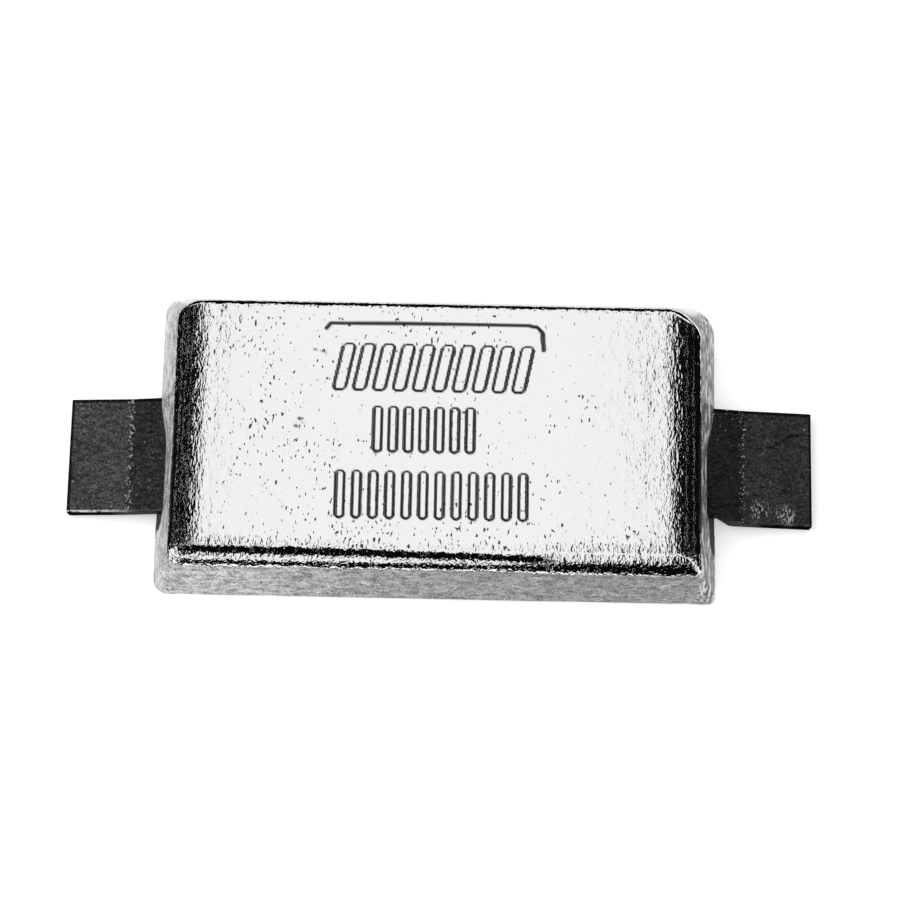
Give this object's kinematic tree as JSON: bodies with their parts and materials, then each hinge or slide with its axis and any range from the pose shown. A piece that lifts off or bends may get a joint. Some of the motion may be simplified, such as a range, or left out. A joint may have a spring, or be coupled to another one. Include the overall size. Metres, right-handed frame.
{
  "type": "sacrificial anode",
  "caption": "Weld-on hull anode: a bright cast zinc slab with leaning walls, poured round a flat dark steel bar whose two cranked ends lean down to the hull as weld tabs.",
  "frame": {"origin": "The middle of the zinc slab's flat back, on the hull plane", "axes": "+X runs along the slab and the steel bar, +Y across the slab, and +Z points away from the hull, out of the front face"},
  "size_m": [0.4036, 0.168, 0.0349],
  "materials": {
    "cast_zinc": "satin",
    "black_steel": "satin"
  },
  "bodies": {
    "root": {"zinc_casting": "cast_zinc", "steel_strap": "black_steel"}
  },
  "joints": []
}
